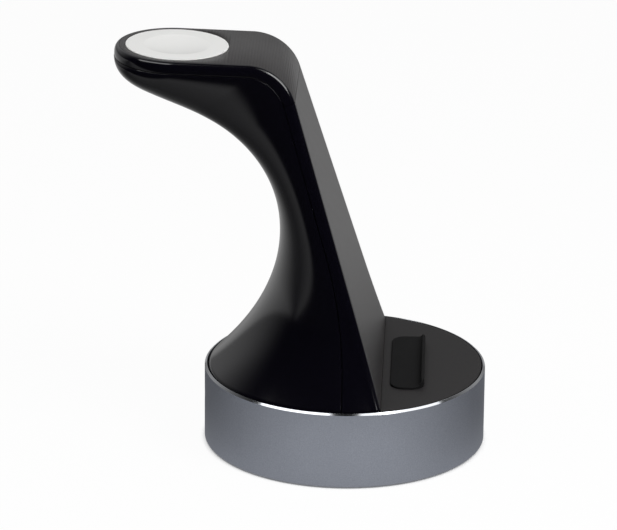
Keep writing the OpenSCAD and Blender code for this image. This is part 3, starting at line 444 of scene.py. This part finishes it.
def outline_at(run, deep):
    """Side view (y, z): run along the outer outline (leaning line, bend, arm), deep below it.
    Near the foot points of one run lie level, and from the bend on square to the outline."""
    run, deep = np.broadcast_arrays(np.asarray(run, float), np.asarray(deep, float))
    run, deep = run[..., None], deep[..., None]
    levelled = run + deep * (1 - run / face_len) / np.tan(lean)
    on_face = foot + levelled * face_dir - deep * face_out
    angle = np.pi / 2 + lean - (run - face_len) / bend_r
    on_bend = bend_centre + (bend_r - deep) * np.concatenate([np.cos(angle), np.sin(angle)], -1)
    on_arm = disc_centre + (run - disc_run) * arm_dir - deep * arm_out
    return np.where(run <= face_len, on_face, np.where(run <= bend_end, on_bend, on_arm))


seam_fillet = 190
cross_z = ring_top - (foot[0] + seam_depth / np.sin(lean)) * np.tan(lean)
low_z = cross_z - seam_fillet * np.tan((np.pi / 2 - lean) / 2)
fillet_h = seam_fillet * np.cos(lean)


def seam_at(run):
    """Side view of the seam: parallel to the face, then eased by a wide arc to an upright line."""
    parallel = outline_at(run, seam_depth)
    z = parallel[..., 1]
    arc = seam_fillet - np.sqrt(seam_fillet ** 2 - np.clip(z - low_z, 0, fillet_h) ** 2)
    y = np.where(z < low_z + fillet_h, arc, (z - cross_z) / np.tan(lean))
    return np.where((np.asarray(run) < face_len)[..., None], np.stack([y, z], -1), parallel)


face_foot_half, face_bend_half, flare_h, side_flare_h = 49.8, 26.2, 32, 32
foot_half = np.sqrt(deck_r ** 2 - foot[0] ** 2) - rim_r


def flare(z, height):
    """Share of a flare at height z: the square of a straight fall from 1 at the deck to 0."""
    return np.clip(1 - (z - ring_top) / height, 0, None) ** 2


def pad_half(run):
    """Half width of the matt pad: a straight taper with a flare at the foot, eased round the
    bend to the arm's width."""
    run = np.asarray(run, float)
    taper = face_foot_half + (face_bend_half - face_foot_half) * run / face_len
    face = taper + (foot_half - face_foot_half) * flare(outline_at(run, 0)[..., 1], flare_h)
    arm = arm_half - rim_r
    bend = arm + (face_bend_half - arm) * np.clip(1 - (run - face_len) / bend_len, 0, 1) ** 2
    return np.where(run <= face_len, face, bend)


def rim_half(run):
    """Half width at the outside of the glossy rim."""
    return pad_half(run) + rim_r


def seam_half(run):
    """Half width at the seam, which flares out to the ring at the foot."""
    wider = (deck_r - foot_half - rim_r) * flare(seam_at(run)[..., 1], side_flare_h)
    return rim_half(run) + np.where(np.asarray(run) < face_len, wider, 0)


def bezier(c, u):
    """Cubic Bezier curve with control points c at shares u."""
    u = np.asarray(u)[..., None]
    return (c[0] * (1 - u) ** 3 + 3 * c[1] * u * (1 - u) ** 2 + 3 * c[2] * u ** 2 * (1 - u)
            + c[3] * u ** 3)


# The back outline is two curves that meet upright at the waist
waist, waist_run, waist_ease = np.array([28.2, 94]), 55, 15
seam_tip = outline_at(tip_run, seam_depth)
back_foot = np.array([deck_r, ring_top])
low_curve = np.array([back_foot, back_foot + [-20.7, 19.1], waist - [0, 20.4], waist])
high_curve = np.array([waist, [waist[0], disc_centre[1] - 21], seam_tip + [-1.3, -23.7], seam_tip])
fine = np.linspace(0, 1, 161)


def lengths(curve):
    """Length of a Bezier curve up to each of the fine shares."""
    steps = np.linalg.norm(np.diff(bezier(curve, fine), axis=0), axis=1)
    return np.concatenate([[0], np.cumsum(steps)])


def walk(curve, length):
    """Points of a Bezier curve at lengths along it."""
    return bezier(curve, np.interp(length, lengths(curve), fine))


def back_at(run):
    """Side view of the back outline. Each station along the face has its place on the back: an
    even pace below the waist and another above it, eased into each other."""
    ahead = np.asarray(run, float) - waist_run
    low_len, high_len = lengths(low_curve)[-1], lengths(high_curve)[-1]
    low_pace, high_pace = low_len / waist_run, high_len / (tip_run - waist_run)
    gain = (high_pace - low_pace) * (ahead + waist_ease) ** 2 / (4 * waist_ease)
    eased = low_pace * ahead + gain
    length = low_len + np.where(ahead < -waist_ease, low_pace * ahead,
                                np.where(ahead > waist_ease, high_pace * ahead, eased))
    return np.where((length < low_len)[..., None], walk(low_curve, length),
                    walk(high_curve, length - low_len))


def place(x, side):
    """Points in space from widths x and side view points."""
    x, y, z = np.broadcast_arrays(x, side[..., 0], side[..., 1])
    return np.stack([x, y, z], -1)


def black_plastic(name, low, high):
    """Black polycarbonate whose roughness wanders between two values, with a faint orange peel."""
    look = bpy.data.materials.new(name)
    tree = blank(look)
    spot = add(tree, "TexCoord").outputs["Object"]
    peel = add(tree, "TexNoise", {"Vector": spot, "Scale": 90, "Detail": 2})
    haze = add(tree, "TexNoise", {"Vector": spot, "Scale": 25, "Detail": 4})
    gloss = add(tree, "MapRange", {"Value": haze.outputs["Fac"], "To Min": low, "To Max": high})
    dents = add(tree, "Bump", {"Height": peel.outputs["Fac"], "Strength": 0.03,
                               "Distance": 0.0003})
    skin = add(tree, "BsdfPrincipled", {"Base Color": linear("#07060d"), "IOR": 1.5,
                                        "Roughness": gloss.outputs[0], "Normal": dents.outputs[0]})
    add(tree, "OutputMaterial", {"Surface": skin.outputs[0]})
    return look


# The covers' moulds are polished to a mirror, the back's only to a soft gloss
gloss_black = black_plastic("polished_black_polycarbonate", 0.10, 0.14)
satin_black = black_plastic("satin_black_polycarbonate", 0.13, 0.18)

# Back shell: half ellipses from seam to seam, with a rounded lip at each seam, and a wall that
# thins where the tip closes
lip_r, thinnest, skirt_deep = 0.14, 0.3, 3
tip_angle = np.radians(np.concatenate([np.linspace(0, 80, 40), np.linspace(81.5, 89.6, 12)]))[1:]
stations = np.concatenate([
    np.linspace(0, face_len, 110)[:-1], np.linspace(face_len, bend_end, 40)[:-1],
    np.linspace(bend_end, disc_run, 30), disc_run + arm_half * np.sin(tip_angle)])
narrow = np.concatenate([np.ones(len(stations) - len(tip_angle)), np.cos(tip_angle)])
half = np.where(stations > disc_run, arm_half * narrow, seam_half(stations))
seam = seam_at(stations)
deep = back_at(stations) - seam
depth = np.linalg.norm(deep, axis=1)
deep /= depth[:, None]
outer_angle, inner_angle = np.linspace(0, np.pi, 81)[1:-1], np.linspace(np.pi, 0, 41)
lip_angle = np.radians([0, 30, 60, 90])


def shell_section(h, d):
    """Half width h and depth d give one section, as (x, depth): a rounded lip, the outer half
    ellipse, the other lip, and the inner half ellipse back."""
    lip = min(lip_r, h * 0.2)
    right = np.stack([h - lip + lip * np.sin(lip_angle), lip - lip * np.cos(lip_angle)], -1)
    outer = np.stack([h * np.cos(outer_angle), np.maximum(d * np.sin(outer_angle), lip)], -1)
    inner_h, inner_d = h * max(1 - wall / h, thinnest), d * max(1 - wall / d, thinnest)
    inner = np.stack([inner_h * np.cos(inner_angle), inner_d * np.sin(inner_angle)], -1)
    return np.vstack([right, outer, right[::-1] * [-1, 1], inner])


flat = np.stack([shell_section(h, d) for h, d in zip(half, depth)])
sections = place(flat[..., 0], seam[:, None] + flat[..., 1:] * deep[:, None])
back_shell = closed_piece("back_shell_skin",
                          np.concatenate([sections[:1] - [0, 0, skirt_deep], sections]),
                          satin_black, [(1, place(0.0, seam_tip[None])[0])], smooth_angle=50)
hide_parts("back_shell")

# Covers: a recessed plate for the pad, a rim round it, and a side wall that ends just short of
# the seam with a broken edge
pad_clear, end_edge, end_round = 0.1, 0.15, 0.045
recess_edge = [[0, 0.12], [-0.04, 0.03]]


def cover_profile(rim_steps=9):
    """(inset, depth) of the cover's edge: up the side of the recess, over its fine edge, and down
    a quarter ellipse to the outside."""
    r = rim_r - pad_clear
    angle = np.radians(np.linspace(0, 90, rim_steps))
    arc = np.column_stack([r * (1 - np.sin(angle)), rim_deep * (1 - np.cos(angle))])
    return np.vstack([[r, pad_t], np.array([r, 0]) + recess_edge, arc[1:]])


def front_section(run):
    """Right half of the front cover's section at one run, from the middle of the recess over the
    rim, down the side wall and back inside. The wall's flare is a parabola from rim to seam."""
    profile = cover_profile()
    rim_side = outline_at(np.full(len(profile), run), profile[:, 1])
    rim = place(rim_half(run) - profile[:, 0], rim_side)
    top, low = outline_at(run, rim_deep), seam_at(run)
    length = np.linalg.norm(low - top)
    end = 1 - gap / length
    out_t = np.concatenate([np.linspace(0, end - end_edge / length, 14)[1:],
                            [end - end_round / length, end]])
    in_t = np.linspace(end, (pad_t + cover_t - rim_deep) / length, 8)
    wider = seam_half(run) - rim_half(run)
    out_x = seam_half(run) - wider * (1 - out_t) ** 2
    out_x[-2:] -= [end_round, end_edge]
    in_x = seam_half(run) - wider * (1 - in_t) ** 2 - cover_t
    outside = place(out_x, top + (low - top) * out_t[:, None])
    inside = place(in_x, top + (low - top) * in_t[:, None])
    middle_top = place(0.0, outline_at(run, pad_t)[None])
    middle_low = place(0.0, outline_at(run, pad_t + cover_t)[None])
    return np.vstack([middle_top, rim, outside, inside, middle_low])


face_runs = np.concatenate([np.linspace(0, 20, 40)[:-1], np.linspace(20, face_len, 90)])
half_sections = np.stack([front_section(run) for run in face_runs])
full_sections = np.concatenate([half_sections, half_sections[:, -2:0:-1] * [-1, 1, 1]], 1)
front_cover = closed_piece("front_cover_skin", np.concatenate([
    full_sections[:1] - [0, 0, skirt_deep], full_sections]), gloss_black, [(0, None), (1, None)])
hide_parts("front_cover")

# The arm cover is the same edge carried along the arm, round its tip and back
arm_start = face_len + gap
turn_angle = np.radians(np.linspace(0, 90, 49)[1:])
straight_runs = np.concatenate([np.linspace(arm_start, bend_end, 36)[:-1],
                                np.linspace(bend_end, disc_run, 30)])


def arm_edge(inset, deep):
    """Points along the arm's edge, inset from its outside and deep below its top."""
    right = place(rim_half(straight_runs) - inset, outline_at(straight_runs, deep))
    tip = place((arm_half - inset) * np.cos(turn_angle),
                outline_at(disc_run + (arm_half - inset) * np.sin(turn_angle), deep))
    half_way = np.vstack([right, tip])
    half_way[-1, 0] = 0
    return np.vstack([half_way, half_way[-2::-1] * [-1, 1, 1]])


def tray_piece(name, grid, material, smooth_angle=38):
    """Closed shape from rows along the arm's edge: sheets from side to side close the first and
    the last row, and a flat face closes the start."""
    rows, columns = grid.shape[:2]
    faces = loop_faces(rows, columns, wrap_columns=False)[:, ::-1]
    i = np.arange(columns // 2 - 1)
    sheet = np.stack([i, i + 1, columns - 2 - i, columns - 1 - i], -1)
    nose = np.array([[columns // 2 - 1, columns // 2, columns // 2 + 1]])
    last = (rows - 1) * columns
    left = np.arange(rows) * columns
    start = np.concatenate([left[::-1], left + columns - 1])
    points = grid.reshape(-1, 3)
    groups = [faces, sheet, nose, (sheet + last)[:, ::-1], (nose + last)[:, ::-1],
              start[None, ::-1]]
    made = mesh_piece(name, points, outward(points, groups), material, smooth_angle)
    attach(made, "root")
    return made


wall_low = seam_depth - gap
arm_rows = [*cover_profile(), [0, wall_low - end_edge], [end_round, wall_low - end_round],
            [end_edge, wall_low], [cover_t, wall_low], [cover_t, pad_t + cover_t]]
arm_cover = tray_piece("arm_cover_skin", np.stack([arm_edge(*row) for row in arm_rows]),
                       gloss_black)


def disc_ring(radius, height, steps=128):
    """A circle round the watch disc's axis, height above the arm's top."""
    angle = np.linspace(0, 2 * np.pi, steps, endpoint=False)
    middle = disc_centre + height * arm_out
    return place(radius * np.cos(angle), middle + radius * np.sin(angle)[:, None] * arm_dir)


hub_r, hub_clear, disc_r, disc_clear = 16.2, 0.2, 21.6, 0.15
cover_drill, pad_drill, drill_top = -10, -5, 3
bored(arm_cover, *[disc_ring(hub_r + hub_clear, z) for z in (cover_drill, drill_top)])
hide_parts("arm_cover")

# ---- Matt pads ----
# Thin dark grey panels let into the covers: one on the leaning face, one along the arm. Their
# soft-touch skin has fine cross ribs, which turn pale where the light grazes them.
pad_edge, pad_round = 0.12, 0.035
pad_look = bpy.data.materials.new("soft_touch_ribbed_abs")
# The ribs are 0.45 mm apart, drawn at 1.3 mm so that they show
tree = blank(pad_look)
spot = add(tree, "TexCoord").outputs["Object"]
run_mm = add(tree, "Attribute", attribute_name="run_mm")
rib_pitch = 1.3
phase = add(tree, "Math", {0: run_mm.outputs["Fac"], 1: 2 * np.pi / rib_pitch},
            operation="MULTIPLY")
ribs = add(tree, "Math", {0: phase.outputs[0]}, operation="SINE")
dust = add(tree, "TexNoise", {"Vector": spot, "Scale": 1500, "Detail": 2})
mottle = add(tree, "TexNoise", {"Vector": spot, "Scale": 160, "Detail": 3})
weave = add(tree, "Math", {0: ribs.outputs[0], 1: 0.5, 2: dust.outputs["Fac"]},
            operation="MULTIPLY_ADD")
# The ribs' wave is also painted into the tone as painted shade and highlight along the ribs, laid
# over a random mottle that is the pad's own tone
painted_rib_shade_and_mottle = add(tree, "Math", {0: ribs.outputs[0], 1: 0.22, 2: mottle.outputs["Fac"]},
             operation="MULTIPLY_ADD")
tone = add(tree, "Mix", {0: painted_rib_shade_and_mottle.outputs[0], 6: linear("#292728"), 7: linear("#312f30")},
           data_type="RGBA")
dents = add(tree, "Bump", {"Height": weave.outputs[0], "Strength": 0.8, "Distance": 0.0001})
skin = add(tree, "BsdfPrincipled", {"Base Color": tone.outputs[2], "Roughness": 0.36,
                                    "Specular IOR Level": 0.29, "Sheen Weight": 0.05,
                                    "Sheen Roughness": 0.35, "Normal": dents.outputs[0]})
add(tree, "OutputMaterial", {"Surface": skin.outputs[0]})


def run_attribute(piece):
    """Stores how far along the outline each point lies, in millimetres: up the leaning line,
    round the bend by its angle, and along the arm."""
    points = np.empty(len(piece.data.vertices) * 3)
    piece.data.vertices.foreach_get("co", points)
    side = points.reshape(-1, 3)[:, 1:] * 1000
    on_face = (side - foot) @ face_dir
    turned_by = np.pi / 2 + lean - np.arctan2(*(side - bend_centre)[:, ::-1].T)
    on_arm = disc_run + (side - disc_centre) @ arm_dir
    run = np.where(on_face < face_len, on_face,
                   np.where(on_arm > bend_end, on_arm, face_len + turned_by * bend_r))
    stored = piece.data.attributes.new("run_mm", "FLOAT", "POINT")
    stored.data.foreach_set("value", run.astype(np.float32))


def pad_section(run, columns=24):
    """Closed section of the face's panel at one run: flat back, small round edges, flat front."""
    w = pad_half(run)
    edge_x = [w, w, w - pad_round, w - pad_edge]
    edge_d = [pad_t, pad_edge, pad_round, 0]
    front_x = np.linspace(edge_x[-1], -edge_x[-1], columns)[1:-1]
    x = np.concatenate([edge_x, front_x, -np.array(edge_x)[::-1]])
    d = np.concatenate([edge_d, np.zeros(columns - 2), edge_d[::-1]])
    return place(x, outline_at(np.full(len(x), run), d))


face_pad = closed_piece("face_panel", np.stack([pad_section(run) for run in face_runs]),
                        pad_look, [(0, None), (1, None)])
run_attribute(face_pad)
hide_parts("face_pad")
arm_pad = tray_piece("arm_panel", np.stack([arm_edge(*row) for row in (
    [rim_r, pad_t], [rim_r, pad_edge], [rim_r + pad_round, pad_round],
    [rim_r + pad_edge, 0])]), pad_look)
bored(arm_pad, *[disc_ring(disc_r + disc_clear, z) for z in (pad_drill, drill_top)])
run_attribute(arm_pad)
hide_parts("arm_pad")

# ---- Watch disc ----
# A white polished disc with a shallow dish that a watch's back sits in. It is moulded in one
# piece with the hub that reaches down through the arm cover.
dish_r, dish_deep, dish_edge, dish_drop = 14, 0.9, 0.35, 0.012
proud, disc_edge, hub_low, hub_wall, disc_floor = 0.3, 0.25, 4.2, 1.2, 1.6
# The dish is the cap of a ball, eased into the disc's top over a narrow ring
ball_r = (dish_r ** 2 + dish_deep ** 2) / (2 * dish_deep)
dish_radii = np.linspace(0.4, dish_r - dish_edge, 26)
dish_heights = proud - dish_deep + ball_r - np.sqrt(ball_r ** 2 - dish_radii ** 2)
corner = np.radians(np.linspace(90, 0, 6))
disc_profile = np.vstack([
    np.column_stack([dish_radii, dish_heights]), [dish_r, proud - dish_drop],
    [dish_r + dish_edge, proud], [disc_r - disc_edge - 0.2, proud],
    np.column_stack([disc_r - disc_edge + disc_edge * np.cos(corner),
                     proud - disc_edge + disc_edge * np.sin(corner)]),
    [disc_r, -pad_t], [hub_r, -pad_t], [hub_r, -hub_low], [hub_r - hub_wall, -hub_low],
    [hub_r - hub_wall, -disc_floor]])
white = bpy.data.materials.new("polished_white_polycarbonate")
# Light goes a little way into the white plastic, so its edges and its dish look soft
tree = blank(white)
spot = add(tree, "TexCoord").outputs["Object"]
peel = add(tree, "TexNoise", {"Vector": spot, "Scale": 120, "Detail": 2})
gloss = add(tree, "MapRange", {"Value": peel.outputs["Fac"], "To Min": 0.20, "To Max": 0.28})
skin = add(tree, "BsdfPrincipled", {"Base Color": linear("#efefed"), "IOR": 1.5,
                                    "Roughness": gloss.outputs[0], "Subsurface Weight": 0.1,
                                    "Subsurface Radius": (0.002, 0.002, 0.002)})
add(tree, "OutputMaterial", {"Surface": skin.outputs[0]})
disc = closed_piece("watch_disc_cap", np.stack([disc_ring(r, h, 192) for r, h in disc_profile]),
                    white, [(0, disc_ring(0, proud - dish_deep, 1)[0]),
                            (1, disc_ring(0, -disc_floor, 1)[0])])
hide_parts("watch_disc")

# ---- Foot pad ----
# A flat moulded disc of black silicone rubber, glued into a recess of the bottom cover. It
# keeps the stand from sliding.
foot_r, foot_top, foot_edge, foot_round = 56, 1.3, 0.3, 0.09
foot_pad = closed_piece("foot_pad_disc", turned([
    [foot_r - foot_edge, 0], [foot_r - foot_round, foot_round], [foot_r, foot_edge],
    [foot_r, foot_top]]), silicone, [(0, [0, 0, 0]), (1, [0, 0, foot_top])])
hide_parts("foot_pad")

# ---- Inside ----
# The chassis, the charging parts, the circuit boards and their screws keep their moulded,
# wound, cast or turned shapes; only their finishes are given here.


def plain_look(name, colour, roughness, metallic=0.0, fleck_mm=0.6, fleck=0.0, dent=0.0):
    """A plain finish whose tone is broken up by flecks of a real size."""
    look = bpy.data.materials.new(name)
    tree = blank(look)
    spot = add(tree, "TexCoord").outputs["Object"]
    speck = add(tree, "TexNoise", {"Vector": spot, "Scale": 1000 / fleck_mm, "Detail": 2})
    dark = np.array(linear(colour))
    dark[:3] *= 1 - fleck
    tone = add(tree, "Mix", {0: speck.outputs["Fac"], 6: dark.tolist(), 7: linear(colour)},
               data_type="RGBA")
    dents = add(tree, "Bump", {"Height": speck.outputs["Fac"], "Strength": dent,
                               "Distance": 0.0001})
    skin = add(tree, "BsdfPrincipled", {"Base Color": tone.outputs[2], "Metallic": metallic,
                                        "Roughness": roughness, "Normal": dents.outputs[0]})
    add(tree, "OutputMaterial", {"Surface": skin.outputs[0]})
    return look


looks = {
    plain_look("moulded_black_abs", "#202123", 0.5, fleck=0.3, dent=0.2):
        ["base_chassis", "bottom_cover", "coil_carrier", "watch_housing", "dc_inlet"],
    plain_look("zinc_plated_steel", "#b9bcc0", 0.35, 1.0, fleck=0.15):
        ["bottom_screws", "board_screws", "shell_screws", "cover_screws", "carrier_screws",
         "watch_screws", "watch_yoke"],
    plain_look("black_zinc_steel_plate", "#85898d", 0.5, 1.0, 2.0, 0.25): ["ballast_plate"],
    plain_look("green_solder_mask", "#1c5a36", 0.35, fleck=0.2): ["main_board", "watch_board"],
    plain_look("epoxy_component_cases", "#3b3d40", 0.45, fleck=0.2): ["board_parts"],
    plain_look("natural_nylon", "#e6e2d6", 0.5): ["board_connectors"],
    plain_look("turned_brass", "#c9a64f", 0.25, 1.0): ["inlet_pin"],
    plain_look("enamelled_copper_wire", "#b87333", 0.3, 1.0, 0.3, 0.3, 0.2):
        ["phone_coil", "watch_coil"],
    plain_look("sintered_ferrite", "#3a3a3d", 0.7, fleck=0.3, dent=0.3):
        ["phone_ferrite", "watch_ferrite"],
    plain_look("nickel_plated_magnet", "#c7c9cc", 0.2, 1.0): ["watch_magnet"],
    plain_look("red_vinyl_sleeve", "#b3202a", 0.45): ["coil_lead"],
    plain_look("black_vinyl_sleeve", "#22252b", 0.45): ["watch_lead"],
}
for look, names in looks.items():
    for name in names:
        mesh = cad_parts[name].data
        mesh.materials.clear()
        mesh.materials.append(look)
